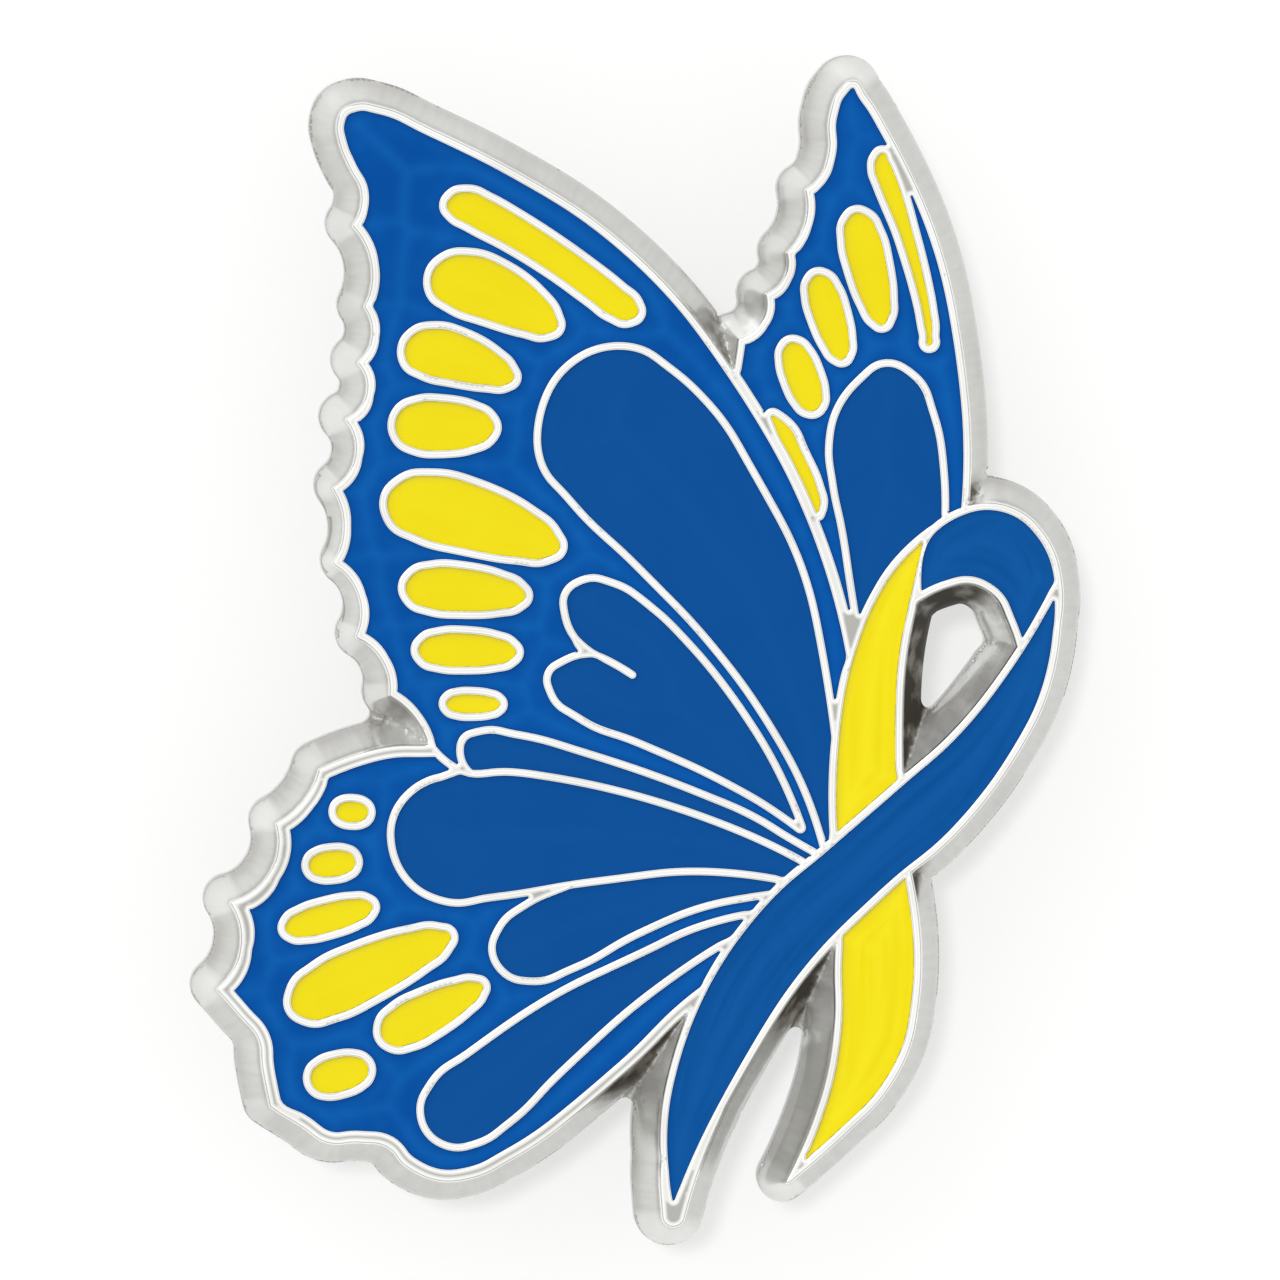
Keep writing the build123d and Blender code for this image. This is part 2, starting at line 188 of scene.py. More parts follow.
def unit(vector):
    return vector / abs(vector)


def cad_mesh(name):
    """Points of a CAD node in millimetres, its doubles merged, and its triangles."""
    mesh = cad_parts[name].data
    mesh.calc_loop_triangles()
    places = np.empty(len(mesh.vertices) * 3)
    mesh.vertices.foreach_get("co", places)
    corners = np.empty(len(mesh.loop_triangles) * 3, int)
    mesh.loop_triangles.foreach_get("vertices", corners)
    points, same = np.unique(np.round(places.reshape(-1, 3) / MM, 4), axis=0, return_inverse=True)
    return points, same.ravel()[corners].reshape(-1, 3)


def rings_at(name, level, flatness=0.002):
    """Closed rings round a node's flat faces at one level, with the material on their left."""
    points, triangles = cad_mesh(name)
    flat = triangles[(abs(points[triangles][:, :, 2] - level) < flatness).all(axis=1)]
    edges = {(a, b) for row in flat for a, b in zip(row, np.roll(row, -1))}
    after = {a: b for a, b in edges if (b, a) not in edges}
    rings = []
    while after:
        start, point = after.popitem()
        ring = [start]
        while point != start:
            ring.append(point)
            point = after.pop(point)
        rings.append(points[ring, 0] + 1j * points[ring, 1])
    return rings


def smooth(ring, longest=0.14, turn_each=0.22, sharp=1.0, shortest=0.012):
    """The ring as a smooth curve sampled finely, still sharp at its corners."""
    kept = [ring[0]]
    for point in ring[1:]:
        if abs(point - kept[-1]) > shortest:
            kept.append(point)
    if abs(kept[-1] - kept[0]) < shortest:
        kept.pop()
    points = np.array(kept)
    way = np.roll(points, -1) - points
    length = abs(way)
    heading = way / length
    before = np.roll(heading, 1)
    corner = abs(np.angle(heading / before)) > sharp
    tangent = unit(before / np.roll(length, 1) + heading / length)
    fine = []
    for index in range(len(points)):
        following = (index + 1) % len(points)
        leave, arrive = tangent[index], tangent[following]
        if corner[index] and corner[following]:
            leave = arrive = heading[index]
        elif corner[index]:
            leave = heading[index] ** 2 / arrive
        elif corner[following]:
            arrive = heading[index] ** 2 / leave
        turn = abs(np.angle(arrive / leave))
        count = max(math.ceil(length[index] / longest), math.ceil(turn / turn_each), 1)
        t = np.arange(count) / count
        fine.append(
            points[index] * (2 * t**3 - 3 * t**2 + 1)
            + length[index] * leave * (t**3 - 2 * t**2 + t)
            + points[following] * (3 * t**2 - 2 * t**3)
            + length[index] * arrive * (t**3 - t**2)
        )
    return np.concatenate(fine)


def bends(ring, reach=0.25):
    """How far the ring turns left within a short reach of each of its points, in radians."""
    way = np.roll(ring, -1) - ring
    turns = np.angle(way / np.roll(way, 1))
    length = np.cumsum(abs(way)) - abs(way)
    whole = length[-1] + abs(way[-1])
    total = np.concatenate([[0], np.cumsum(turns)])
    round_trip = total[-1]
    places = np.concatenate([length - whole, length, length + whole])
    headings = np.concatenate([total[1:] - round_trip, total[1:], total[1:] + round_trip])
    return np.interp(length + reach, places, headings) - np.interp(length - reach, places, headings)


class Bank:
    """Closed rings as short straight pieces that places are measured from."""

    def __init__(self, rings):
        self.points = np.concatenate(rings)
        self.number = np.concatenate([np.full(len(ring), n) for n, ring in enumerate(rings)])
        starts = np.cumsum([0] + [len(ring) for ring in rings[:-1]])
        order = [np.arange(len(ring)) for ring in rings]
        self.after = np.concatenate([np.roll(row, -1) + start for row, start in zip(order, starts)])
        self.before = np.concatenate([np.roll(row, 1) + start for row, start in zip(order, starts)])
        steps = [abs(np.roll(ring, -1) - ring) for ring in rings]
        self.along = np.concatenate([np.cumsum(step) - step for step in steps])
        self.bend = np.concatenate([bends(ring) for ring in rings])
        self.tree = KDTree(len(self.points))
        for index, point in enumerate(self.points):
            self.tree.insert((point.real, point.imag, 0), index)
        self.tree.balance()

    def nearest(self, places):
        return np.array([self.tree.find((p.real, p.imag, 0))[1] for p in places])

    def measure(self, places):
        """Distance from the rings, positive on their left; nearest ring, length along it, way from it."""
        near = self.nearest(places)
        found = []
        for start in (self.before[near], near):
            origin = self.points[start]
            way = self.points[self.after[start]] - origin
            share = np.clip(((places - origin) * way.conj()).real / abs(way) ** 2, 0, 1)
            offset = places - origin - share * way
            left = 1j * way / abs(way)
            found.append((abs(offset), offset, left, self.along[start] + share * abs(way)))
        (d0, o0, l0, a0), (d1, o1, l1, a1) = found
        tie = abs(d0 - d1) < 1e-7
        first = d0 < d1
        left = np.where(tie, l0 + l1, np.where(first, l0, l1))
        offset = np.where(first, o0, o1)
        side = np.where((offset * left.conj()).real < 0, -1, 1)
        away = np.where(abs(offset) > 1e-5, offset / np.maximum(abs(offset), 1e-9), side * unit(left))
        return side * np.minimum(d0, d1), self.number[near], np.where(first, a0, a1), away


def offsets(ring, shift, sharpest=0.5):
    """Each point of a ring moved to its left, or to its right where shift is negative."""
    way = np.roll(ring, -1) - ring
    heading = way / abs(way)
    before = np.roll(heading, 1)
    left = 1j * unit(before + heading)
    return ring + left * shift / np.maximum(sharpest, (left * (1j * heading).conj()).real)


def softened(ring, radius, clear=0.97, turn_each=0.35):
    """The ring of a pocket with its sharp ends rounded, as a ball of this radius would reach into them."""
    way = np.roll(ring, -1) - ring
    counts = np.ceil(abs(way) / (radius / 2)).astype(int)
    dense = np.concatenate([p + w * np.arange(n) / n for p, w, n in zip(ring, way, counts)])
    original = np.concatenate([np.arange(n) == 0 for n in counts])
    centres = offsets(dense, -radius)
    kept = Bank([dense]).measure(centres)[0] < -clear * radius
    if kept.all() or not kept.any():
        return ring
    first = int(np.flatnonzero(kept & ~np.roll(kept, -1))[0])
    dense, original, centres, kept = (np.roll(row, -first) for row in (dense, original, centres, kept))
    places = np.append(np.flatnonzero(kept), len(dense))
    out = []
    for here, following in zip(places, places[1:]):
        arriving = following % len(dense)
        if original[here] or following > here + 1 or not kept[here - 1]:
            out.append(dense[here])
        if following == here + 1:
            continue
        if abs(centres[here] - centres[arriving]) > radius:
            out += list(dense[here + 1:following][original[here + 1:following]])
            continue
        centre = (centres[here] + centres[arriving]) / 2
        start, end = dense[here] - centre, dense[arriving] - centre
        sweep = np.angle(end / start)
        sweep = sweep - 2 * math.pi if sweep > 0 else sweep
        steps = max(2, math.ceil(-sweep / turn_each))
        turn = np.exp(1j * sweep * np.arange(1, steps) / steps)
        out += list(centre + start * turn)
    return np.array(out)


def triangulate(rings, extra, touching=1e-6, no_area=1e-9):
    """Delaunay triangles over rings and loose points; gives points, triangles, and each ring's points."""
    places = np.concatenate(rings + [extra])
    edges = []
    start = 0
    for ring in rings:
        edges += [(start + n, start + (n + 1) % len(ring)) for n in range(len(ring))]
        start += len(ring)
    flat = [Vector((p.real, p.imag)) for p in places]
    out, _, faces, origins, _, _ = delaunay_2d_cdt(flat, edges, [], 0, touching)
    points = np.array([v.x + 1j * v.y for v in out])
    lookup = np.zeros(len(places), int)
    for index, sources in enumerate(origins):
        lookup[list(sources)] = index
    ring_points = []
    start = 0
    for ring in rings:
        ring_points.append(lookup[start:start + len(ring)])
        start += len(ring)
    triangles = np.array(faces)
    a, b, c = points[triangles].T
    area = ((b - a).conj() * (c - a)).imag
    real = abs(area) > no_area
    triangles, turned = triangles[real], area[real] < 0
    triangles[turned] = triangles[turned][:, ::-1]
    return points, triangles, ring_points


def solid_from(name, places, heights, faces, attributes):
    """A smooth piece from its points and faces, with each attribute's value at each point."""
    mesh = bpy.data.meshes.new(name)
    points = np.column_stack([places.real, places.imag, heights]) * MM
    mesh.from_pydata(points.tolist(), [], [list(map(int, face)) for face in faces])
    mesh.polygons.foreach_set("use_smooth", np.ones(len(mesh.polygons), bool))
    for key, values in attributes.items():
        mesh.attributes.new(key, "FLOAT", "POINT").data.foreach_set("value", np.asarray(values, float))
    mesh.update()
    piece = bpy.data.objects.new(name, mesh)
    bpy.context.scene.collection.objects.link(piece)
    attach(piece, "root")
    return piece


def strip(upper, lower):
    """Faces between two closed rows of points, the lower one under the upper, material on the left."""
    ahead_upper, ahead_lower = np.roll(upper, -1), np.roll(lower, -1)
    return np.column_stack([upper, lower, ahead_lower, ahead_upper]).tolist()


def around(values, triangles):
    """Mean of the values at each point's neighbours."""
    total = np.zeros(len(values))
    shares = np.zeros(len(values))
    for a, b in ((0, 1), (1, 2), (2, 0), (1, 0), (2, 1), (0, 2)):
        np.add.at(total, triangles[:, a], values[triangles[:, b]])
        np.add.at(shares, triangles[:, a], 1)
    return total / np.maximum(shares, 1)


# Rings of the CAD face, sorted into the enamels' pockets and the figure's outline
tops = [smooth(ring) for ring in rings_at("plate", face_level)]
top_bank = Bank(tops)
enamel_nodes = [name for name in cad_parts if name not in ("plate", "pin_back")]
pockets = {}
for name in enamel_nodes:
    rings = rings_at(name, enamel_level)
    pockets[name] = sorted({int(top_bank.number[top_bank.nearest(ring[:1])[0]]) for ring in rings})
pocket_rings = {number for numbers in pockets.values() for number in numbers}
for name, numbers in pockets.items():
    for number in numbers:
        tops[number] = softened(tops[number], ribbon_end if name.startswith("ribbon") else pocket_end)
top_bank = Bank(tops)
outline = np.array([number not in pocket_rings for number in range(len(tops))])
outline_rings = [ring for ring, outer in zip(tops, outline) if outer]
outline_bank = Bank(outline_rings)
ways = [np.roll(ring, -1) - ring for ring in outline_rings]
in_hole = np.array([np.angle(np.roll(way, -1) / way).sum() < 0 for way in ways])
pin_low, pin_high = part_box("pin_back")
pin_centre = complex(pin_low.x + pin_high.x, pin_low.y + pin_high.y) / 2 / MM
back_rings = [ring for ring in rings_at("plate", back_level) if abs(ring[0] - pin_centre) > post_reach]
feet = [softened(smooth(ring[::-1]), notch_round) for ring in back_rings]
foot_bank = Bank(feet)


def wall_tones(spots, run, away):
    """How light the plating is painted on the wall, and how shut in it is: painted shade down the wall, by
    the way it faces and in gaps, painted highlights round corners.
    """
    down = np.interp(run, wall_run, wall_drop) / wall_drop[-1]
    falling = (away * (1 + 1j)).real / math.sqrt(2)
    shares, lower_right, upper_left = np.array(painted_wall_shade).T
    tone = np.interp(down, shares, lower_right)
    tone += (np.interp(down, shares, upper_left) - tone) * np.clip(-upper_left_turn * falling, 0, 1)
    # painted shade of a crease just outside the rim
    crease_shade = np.exp(-((run - crease_run) / crease_width) ** 2) * np.clip(-falling + crease_turn, 0, 1)
    tone = tone * (1 - crease_depth * crease_shade)
    # painted highlight round outward corners
    corner = np.clip(top_bank.bend[top_bank.nearest(spots)] / corner_turn - corner_start, 0, 1)
    tone += (corner_highlight_tone - tone) * corner * np.interp(down, *np.array(corner_highlight_down).T)
    # Painted shade where the wall is shut in by metal, and in holes
    blocked = np.zeros(len(spots))
    ways = np.exp(2j * np.pi * np.arange(gap_ways) / gap_ways)
    for reach in gap_reaches:
        for way in ways:
            blocked += outline_bank.measure(spots + reach * way)[0] > 0
    shut = np.clip((blocked / (gap_ways * len(gap_reaches)) - gap_share) / gap_spread, 0, 1)
    shut[in_hole[outline_bank.number[outline_bank.nearest(spots)]]] = 1
    gap_shade_tone = gap_dark + (gap_grey - gap_dark) * np.clip(gap_even - gap_turn * falling, 0, 1)
    gap_shade_tone = gap_shade_tone * np.interp(down, *np.array(gap_down).T)
    return tone + (gap_shade_tone - tone) * shut, shut


# Plate
wall_run, wall_drop = np.array(wall_profile).T
loose = []
for shift in face_rows:
    moved = np.concatenate([offsets(ring, shift) for ring in tops])
    loose.append(moved[top_bank.measure(moved)[0] > row_clear * shift])
for shift in wall_run[1:-1]:
    moved = np.concatenate([offsets(ring, -shift) for ring in outline_rings])
    clear = top_bank.measure(moved)[0] < -wall_clear * shift
    inside = foot_bank.measure(moved)[0] > foot_clear
    loose.append(moved[clear & inside])
places, triangles, ring_points = triangulate(tops + feet, np.concatenate(loose))
centres = places[triangles].mean(axis=1)
distance, number, _, _ = top_bank.measure(centres)
keep = (distance > 0) | outline[number]
keep &= foot_bank.measure(centres)[0] > 0
triangles = triangles[keep]
distance, number, along, away = top_bank.measure(places)
inward = np.clip(1 - np.maximum(distance, 0) / edge_round, 0, 1)
heights = face_level - edge_drop * (1 - np.sqrt(1 - inward**2))
on_wall = (distance < -edge_tolerance) & outline[number]
to_foot = np.maximum(foot_bank.measure(places[on_wall])[0], 0)
run = -distance[on_wall]
run = np.maximum(run, wall_run[-1] * run / (run + to_foot))
heights[on_wall] = face_level - np.interp(run, wall_run, wall_drop)
top_points, foot_points = ring_points[:len(tops)], ring_points[len(tops):]
for row in foot_points:
    heights[row] = face_level - wall_drop[-1]
# Painted reflection: flat tops turn grey away from their edges
tones = top_tone + (middle_reflection_tone - top_tone) * np.clip((distance - middle_depth) / middle_depth, 0, 1)
shut = np.zeros(len(places))
tones[on_wall], shut[on_wall] = wall_tones(places[on_wall], run, away[on_wall])
foot_all = np.concatenate(foot_points)
full_run = np.full(len(foot_all), wall_run[-1])
tones[foot_all], shut[foot_all] = wall_tones(places[foot_all], full_run, away[foot_all])
tones[on_wall] = (tones + around(tones, triangles))[on_wall] / 2
faces = triangles.tolist()
rows_places, rows_heights = [places], [heights]


def add_row(ring, level):
    """One more closed row of the plate's points; gives their numbers."""
    start = sum(map(len, rows_places))
    rows_places.append(ring)
    rows_heights.append(np.full(len(ring), level))
    return np.arange(start, start + len(ring))


for index in sorted(pocket_rings):
    low = add_row(places[top_points[index]], face_level - skirt_depth)
    faces += strip(low, top_points[index])
bottoms = []
for row in foot_points:
    ring = places[row]
    upper = row
    for level in (back_level + foot_height, back_level + foot_edge):
        lower = add_row(ring, level)
        faces += strip(lower, upper)
        upper = lower
    inset = offsets(ring, foot_edge)
    lower = add_row(inset, back_level)
    faces += strip(lower, upper)
    bottoms.append((inset, lower))
back_places, back_triangles, back_points = triangulate([ring for ring, _ in bottoms], np.empty(0, complex))
back_bank = Bank([ring for ring, _ in bottoms])
back_centres = back_places[back_triangles].mean(axis=1)
back_triangles = back_triangles[back_bank.measure(back_centres)[0] > 0]
back_index = np.zeros(len(back_places), int)
for (_, lower), row in zip(bottoms, back_points):
    back_index[row] = lower
faces += back_index[back_triangles][:, ::-1].tolist()
all_places = np.concatenate(rows_places)
all_heights = np.concatenate(rows_heights)


def carried_on(values, rest=0.0):
    """Values of the face and the wall, and one value for all the points below them."""
    return np.concatenate([values, np.full(len(all_places) - len(places), rest)])


on_back = all_heights < back_level + foot_edge / 2
looks = {
    "along": carried_on(along),
    "wall": carried_on(on_wall),
    "tone": np.where(on_back, back_tone, carried_on(tones, foot_shade_tone)),
    "gap": carried_on(shut),
    "back": on_back,
}
plate = solid_from("cast_plate", all_places, all_heights, faces, looks)
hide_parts("plate")

# Enamels
pieces = {}
for name in enamel_nodes:
    rings = [tops[number] for number in pockets[name]]
    bank = Bank(rings)
    edge = np.concatenate(rings)
    xs = np.arange(edge.real.min(), edge.real.max(), grid_step)
    ys = np.arange(edge.imag.min(), edge.imag.max(), grid_step * math.sqrt(0.75))
    grid = xs[None, :] + 1j * ys[:, None]
    grid[1::2] += grid_step / 2
    grid = grid.ravel()
    loose = [grid[bank.measure(grid)[0] < -grid_step]]
    for shift in enamel_rows:
        moved = np.concatenate([offsets(ring, -shift) for ring in rings])
        loose.append(moved[bank.measure(moved)[0] < -row_clear * shift])
    places, triangles, ring_points = triangulate(rings, np.concatenate(loose))
    centres = places[triangles].mean(axis=1)
    triangles = triangles[bank.measure(centres)[0] < 0]
    distance, _, along, away = bank.measure(places)
    depth = np.maximum(-distance, 0)
    # painted shadow of the lines along the enamel's upper-left edges
    line_shadow = np.exp(-depth / line_shadow_width) * np.clip((away * (1 + 1j)).real / math.sqrt(2), 0, 1)
    heights = enamel_level - enamel_sink + enamel_climb * np.exp(-depth / climb_width)
    # painted highlight along the enamel's crest lines
    crest_highlight = np.clip((depth - around(depth, triangles)) / crest_rise, 0, 1) * (depth > crest_from)
    for _ in range(crest_passes):
        crest_highlight = (crest_highlight + around(crest_highlight, triangles)) / 2
    if name.startswith("ribbon"):
        slot = "ribbon_yellow_enamel" if "yellow" in name else "ribbon_blue_enamel"
    elif "field" in name:
        slot = "wing_blue_enamel"
    elif "spot" in name:
        slot = "spot_yellow_enamel"
    else:
        slot = "cell_blue_enamel"
    looks = {"depth": depth, "crest_highlight": crest_highlight, "along": along, "line_shadow": line_shadow}
    piece = solid_from(name + "_enamel", places, heights, triangles.tolist(), looks)
    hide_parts(name)
    pieces[name] = (piece, slot)


def lathe(name, profile, centre, base, sides):
    """A turned piece: the profile's radii and heights go up its outside from the middle of its foot."""
    radii, levels = np.array(profile[1:-1]).T
    turn = np.exp(2j * np.pi * np.arange(sides) / sides)
    places = (centre + radii[:, None] * turn[None, :]).ravel()
    heights = np.repeat(base + levels, sides)
    rows = np.arange(len(radii) * sides).reshape(len(radii), sides)
    faces = []
    for lower, upper in zip(rows, rows[1:]):
        faces += np.column_stack([lower, np.roll(lower, -1), np.roll(upper, -1), upper]).tolist()
    low, high = len(places), len(places) + 1
    places = np.append(places, [centre, centre])
    heights = np.append(heights, [base + profile[0][1], base + profile[-1][1]])
    faces += [(low, after, point) for point, after in zip(rows[0], np.roll(rows[0], -1))]
    faces += [(high, point, after) for point, after in zip(rows[-1], np.roll(rows[-1], -1))]
    return solid_from(name, places, heights, faces, {})


# Materials
def make_material(name):
    """A new material with its node tree and its surface shader."""
    material = bpy.data.materials.new(name)
    material.use_nodes = True
    return material, material.node_tree, material.node_tree.nodes["Principled BSDF"]


def node(tree, kind, links=None, **values):
    """A new node; values set its inputs or its settings by name, and links feed its inputs."""
    made = tree.nodes.new(kind)
    for key, value in values.items():
        if key in made.inputs.keys():
            made.inputs[key].default_value = value
        else:
            setattr(made, key, value)
    for key, source in (links or {}).items():
        tree.links.new(source, made.inputs[key])
    return made


def ramp(tree, source, *stops):
    """The source's value as a colour between stops of position and colour."""
    made = tree.nodes.new("ShaderNodeValToRGB")
    tree.links.new(source, made.inputs[0])
    elements = made.color_ramp.elements
    while len(elements) < len(stops):
        elements.new(0.5)
    for element, (position, colour) in zip(elements, stops):
        element.position = position
        element.color = (*colour, 1)
    return made.outputs[0]


def noise(tree, scale, detail=3.0, source=None):
    place = source or node(tree, "ShaderNodeTexCoord").outputs["Object"]
    return node(tree, "ShaderNodeTexNoise", {"Vector": place}, Scale=scale, Detail=detail).outputs[0]


def spread(tree, source, low, high):
    """The source's 0 to 1 as low to high."""
    return node(tree, "ShaderNodeMapRange", {0: source}, **{"To Min": low, "To Max": high}).outputs[0]


def attribute(tree, name):
    return node(tree, "ShaderNodeAttribute", attribute_name=name).outputs["Fac"]


def blend(tree, factor, first, second, way="MIX"):
    """Second over first by factor; each is a socket or a colour."""
    made = node(tree, "ShaderNodeMix", data_type="RGBA", blend_type=way)
    for socket, value in ((made.inputs[0], factor), (made.inputs[6], first), (made.inputs[7], second)):
        if isinstance(value, bpy.types.NodeSocket):
            tree.links.new(value, socket)
        elif isinstance(value, tuple):
            socket.default_value = (*value, 1)
        else:
            socket.default_value = value
    return made.outputs[2]


def combine(tree, way, first, second):
    """Two values added or multiplied."""
    return node(tree, "ShaderNodeMath", {0: first, 1: second}, operation=way).outputs[0]


def streaks(tree, across, along, across_scale, along_scale):
    """Noise drawn out along an edge."""
    stretched = node(tree, "ShaderNodeCombineXYZ", {0: across, 1: along})
    scaled = node(tree, "ShaderNodeVectorMath", {0: stretched.outputs[0]}, operation="MULTIPLY")
    scaled.inputs[1].default_value = (across_scale, along_scale, 1)
    return noise(tree, 1.0, 3.0, scaled.outputs[0])


def plating(name):
    """Bright plating coloured by the tone of each place, which carries painted light and shade, with faint
    upright streaks on the wall.
    """
    material, tree, surface = make_material(name)
    broad = noise(tree, plating_cloud, 4.0)
    fine = noise(tree, metal_grain, 4.0)
    # Lighter patches that break up the painted gap shade
    patches = ramp(tree, noise(tree, gap_shade_patch, 5.0), (0.50, (0, 0, 0)), (0.68, (0.30, 0.30, 0.30)))
    in_gaps = combine(tree, "MULTIPLY", patches, attribute(tree, "gap"))
    # The low browns and middle greys of this ramp are painted shade and painted reflection
    tone = ramp(
        tree,
        combine(tree, "ADD", attribute(tree, "tone"), in_gaps),
        (0.0, (0.020, 0.013, 0.006)),
        (0.25, (0.20, 0.185, 0.155)),
        (0.5, (0.46, 0.455, 0.43)),
        (0.75, (0.74, 0.74, 0.72)),
        (1.0, (1.0, 1.0, 0.99)),
    )
    worn = ramp(tree, broad, (0.32, (0.92, 0.915, 0.905)), (0.56, (1.0, 1.0, 1.0)))
    place = node(tree, "ShaderNodeTexCoord").outputs["Object"]
    height = node(tree, "ShaderNodeSeparateXYZ", {0: place}).outputs[2]
    upright = streaks(tree, height, attribute(tree, "along"), 700, 5)
    rubbed = ramp(tree, upright, (0.3, (0.95, 0.95, 0.945)), (0.65, (1.03, 1.03, 1.03)))
    streaked = blend(tree, attribute(tree, "wall"), (1.0, 1.0, 1.0), rubbed)
    colour = blend(tree, 1.0, blend(tree, 1.0, tone, worn, "MULTIPLY"), streaked, "MULTIPLY")
    tree.links.new(colour, surface.inputs["Base Color"])
    back = attribute(tree, "back")
    cast_back = combine(tree, "ADD", spread(tree, broad, 0.10, 0.18), spread(tree, back, 0, 0.22))
    rough_where_shaded = node(tree, "ShaderNodeMapRange", {0: attribute(tree, "tone")}, **dull_when_dark)
    rough = combine(tree, "ADD", cast_back, rough_where_shaded.outputs[0])
    tree.links.new(rough, surface.inputs["Roughness"])
    surface.inputs["Specular IOR Level"].default_value = 0.3
    tree.links.new(spread(tree, attribute(tree, "wall"), 1.0, 0.55), surface.inputs["Metallic"])
    bump = node(tree, "ShaderNodeBump", {"Height": fine}, Strength=0.2, Distance=0.00001)
    relief = {"Height": combine(tree, "MULTIPLY", noise(tree, pebble, 2.0), back), "Normal": bump.outputs[0]}
    pebbles = node(tree, "ShaderNodeBump", relief, Strength=0.7, Distance=0.00006)
    tree.links.new(pebbles.outputs[0], surface.inputs["Normal"])
    return material


def metal(name, light, dark, rough_low, rough_high):
    """Plated sheet metal with soft clouds."""
    material, tree, surface = make_material(name)
    surface.inputs["Metallic"].default_value = 1.0
    broad = noise(tree, clutch_cloud)
    fine = noise(tree, metal_grain, 4.0)
    tree.links.new(ramp(tree, broad, (0.3, dark), (0.7, light)), surface.inputs["Base Color"])
    tree.links.new(spread(tree, broad, rough_low, rough_high), surface.inputs["Roughness"])
    bump = node(tree, "ShaderNodeBump", {"Height": fine}, Strength=0.25, Distance=0.00001)
    tree.links.new(bump.outputs[0], surface.inputs["Normal"])
    return material


def enamel(name, colour, light, crest_highlight, line_shadow, flow):
    """Fired enamel: soft clouds and flow lines, a painted highlight along its crests, and a painted grey
    shadow of the lines along its upper-left edges.
    """
    material, tree, surface = make_material(name)
    broad = noise(tree, enamel_cloud)
    fine = noise(tree, enamel_grain)
    lines = streaks(tree, attribute(tree, "depth"), attribute(tree, "along"), 5, 0.25)
    clouds = ramp(tree, broad, (0.3, colour), (0.7, light))
    flowing = ramp(tree, lines, (0.3, colour), (0.7, light))
    tint = blend(tree, flow, clouds, flowing)
    crested = blend(tree, spread(tree, attribute(tree, "crest_highlight"), 0, 0.8), tint, crest_highlight)
    shaded = blend(tree, spread(tree, attribute(tree, "line_shadow"), 0, 1.0), crested, line_shadow)
    tree.links.new(shaded, surface.inputs["Base Color"])
    tree.links.new(spread(tree, fine, 0.26, 0.34), surface.inputs["Roughness"])
    surface.inputs["Specular IOR Level"].default_value = 0.03
    bump = node(tree, "ShaderNodeBump", {"Height": broad}, Strength=0.2, Distance=0.00005)
    tree.links.new(bump.outputs[0], surface.inputs["Normal"])
    return material


# Painted shadow colours for the enamel beside the lines
shadowed_blue, shadowed_yellow = (0.002, 0.055, 0.24), (0.40, 0.33, 0.10)
# Each enamel: own colour, lighter cloud colour, painted crest highlight colour, painted line shadow colour,
# share of flow lines
finishes = {
    "plated_metal": plating("bright_plating"),
    "clutch_metal": metal("clutch_plating", (0.80, 0.79, 0.76), (0.70, 0.69, 0.66), 0.2, 0.32),
    "wing_blue_enamel": enamel(
        "wing_blue", (0.0008, 0.073, 0.335), (0.0012, 0.082, 0.360), (0.005, 0.125, 0.46), shadowed_blue, 0.3
    ),
    "cell_blue_enamel": enamel(
        "cell_blue", (0.0026, 0.075, 0.300), (0.0034, 0.082, 0.322), (0.004, 0.085, 0.33), shadowed_blue, 0.3
    ),
    "spot_yellow_enamel": enamel(
        "spot_yellow", (0.83, 0.690, 0.010), (0.87, 0.735, 0.012), (0.87, 0.735, 0.012), shadowed_yellow, 0.2
    ),
    "ribbon_yellow_enamel": enamel(
        "ribbon_yellow", (0.85, 0.70, 0.008), (0.90, 0.77, 0.012), (0.93, 0.80, 0.02), shadowed_yellow, 0.8
    ),
    "ribbon_blue_enamel": enamel(
        "ribbon_blue", (0.002, 0.074, 0.295), (0.004, 0.096, 0.355), (0.006, 0.105, 0.38), shadowed_blue, 0.8
    ),
}
plate.data.materials.append(finishes["plated_metal"])
for piece, slot in pieces.values():
    piece.data.materials.append(finishes[slot])
clutch = lathe("clutch_and_post", clutch_profile, pin_centre, pin_low.z / MM, clutch_sides)
clutch.data.materials.append(finishes["clutch_metal"])
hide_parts("pin_back")

# Floor, light and camera
bpy.ops.mesh.primitive_plane_add(size=1.6)
floor = bpy.context.object
floor.name = "floor"
material, tree, surface = make_material("pale_floor")
surface.inputs["Base Color"].default_value = (0.52, 0.52, 0.52, 1)
surface.inputs["Roughness"].default_value = 0.7
surface.inputs["Emission Color"].default_value = (1, 1, 1, 1)
surface.inputs["Emission Strength"].default_value = 0.50
floor.data.materials.append(material)

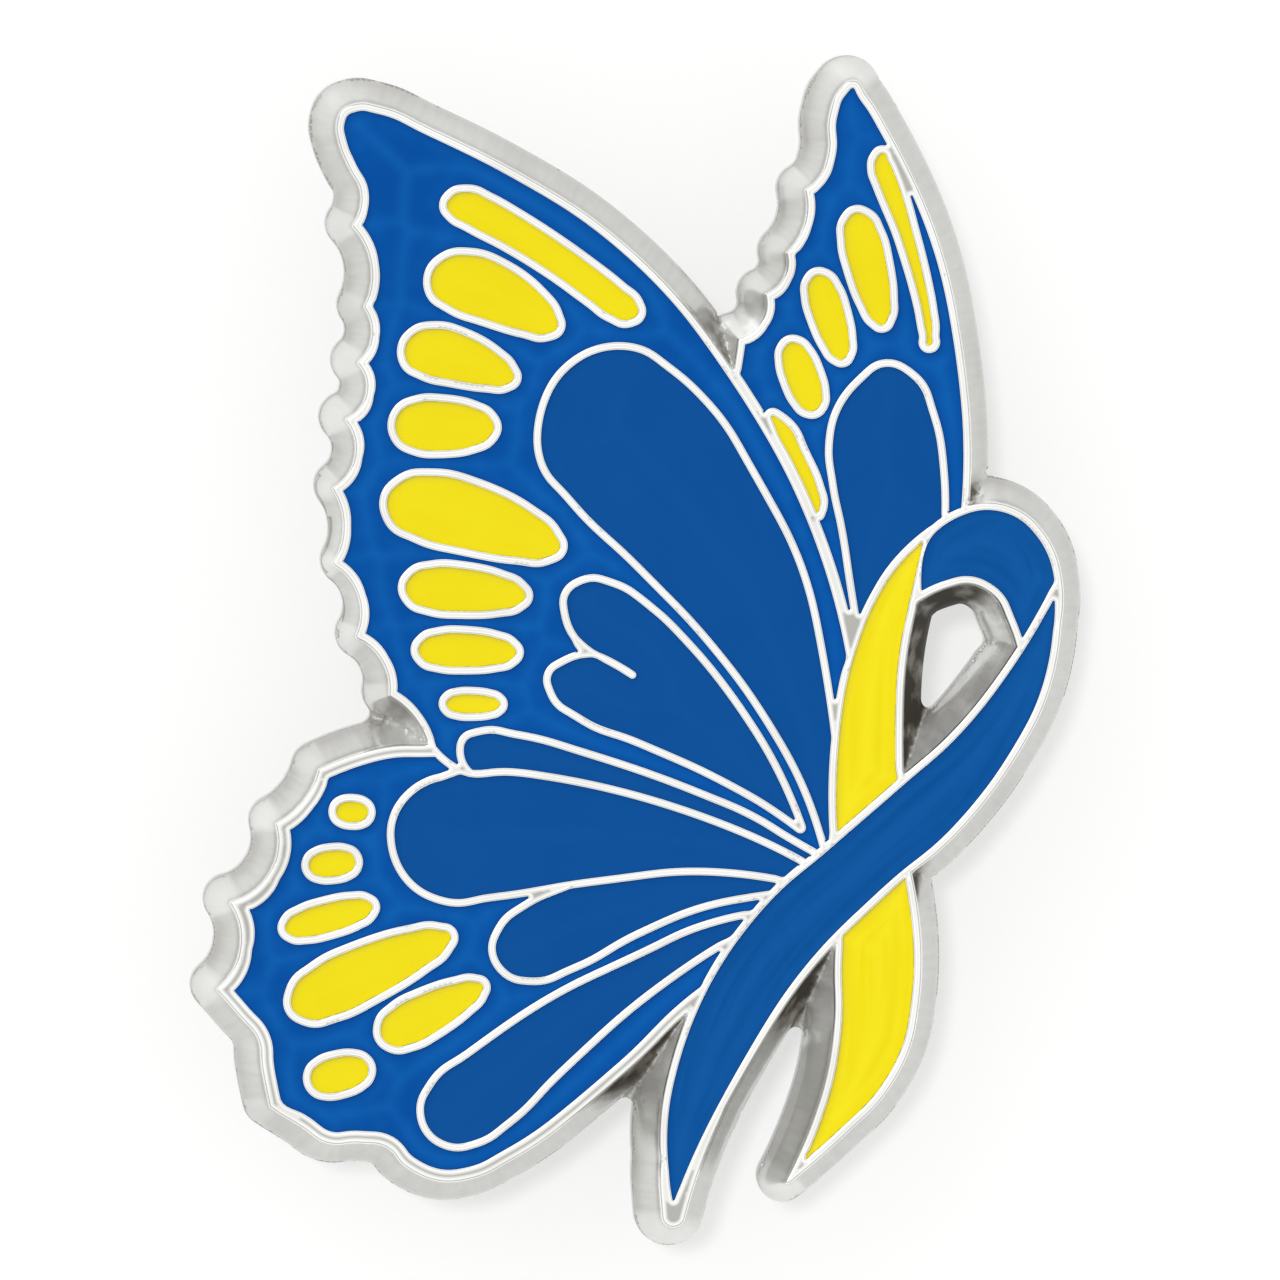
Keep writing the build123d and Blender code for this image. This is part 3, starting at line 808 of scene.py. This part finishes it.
world = bpy.data.worlds.new("studio")
bpy.context.scene.world = world
world.use_nodes = True
tree = world.node_tree
heading = node(tree, "ShaderNodeTexCoord").outputs["Generated"]
upward = node(tree, "ShaderNodeSeparateXYZ", {0: heading}).outputs[2]
sky = ramp(
    tree,
    upward,
    (0.0, (0.2, 0.2, 0.19)),
    (0.34, (0.3, 0.3, 0.29)),
    (0.55, (0.76, 0.76, 0.75)),
    (0.85, (0.94, 0.94, 0.93)),
    (0.96, (1.3, 1.3, 1.29)),
)
tree.links.new(sky, tree.nodes["Background"].inputs["Color"])
tree.nodes["Background"].inputs["Strength"].default_value = 0.82


def sun(name, towards, strength, spread_degrees, mirrored):
    """A sun lamp; mirrored says whether the metal and the enamel reflect it."""
    lamp = bpy.data.lights.new(name, "SUN")
    lamp.energy = strength
    lamp.angle = math.radians(spread_degrees)
    holder = bpy.data.objects.new(name, lamp)
    holder.rotation_euler = (-Vector(towards)).to_track_quat("-Z", "Y").to_euler()
    holder.visible_glossy = mirrored
    bpy.context.scene.collection.objects.link(holder)


sun("key", (-0.5, 0.6, 0.9), 0.3, 40, True)
sun("overhead", (-0.15, 0.125, 1), 0.95, 4, False)

pixels_per_mm = 37.37
photo_side = 1280
face_pixel = complex(641, 655.5)
lean_left, lean_up = math.radians(5.0), math.radians(3.6)
camera_away = 450.0
aim = complex(photo_side / 2 - face_pixel.real, face_pixel.imag - photo_side / 2) / pixels_per_mm
target = Vector((aim.real, aim.imag, face_level)) * MM
back_way = Vector((-math.tan(lean_left), math.tan(lean_up), 1)).normalized()
camera_data = bpy.data.cameras.new("camera")
camera_data.sensor_width = 36
camera_data.lens = camera_data.sensor_width * camera_away / (photo_side / pixels_per_mm)
camera_data.clip_end = 10
camera = bpy.data.objects.new("camera", camera_data)
upright = Vector((0, 1, 0))
right = upright.cross(back_way).normalized()
turned = Matrix((right, back_way.cross(right), back_way)).transposed()
camera.matrix_world = Matrix.Translation(target + back_way * camera_away * MM) @ turned.to_4x4()
bpy.context.scene.collection.objects.link(camera)
bpy.context.scene.camera = camera
bpy.context.scene.view_settings.view_transform = "Standard"
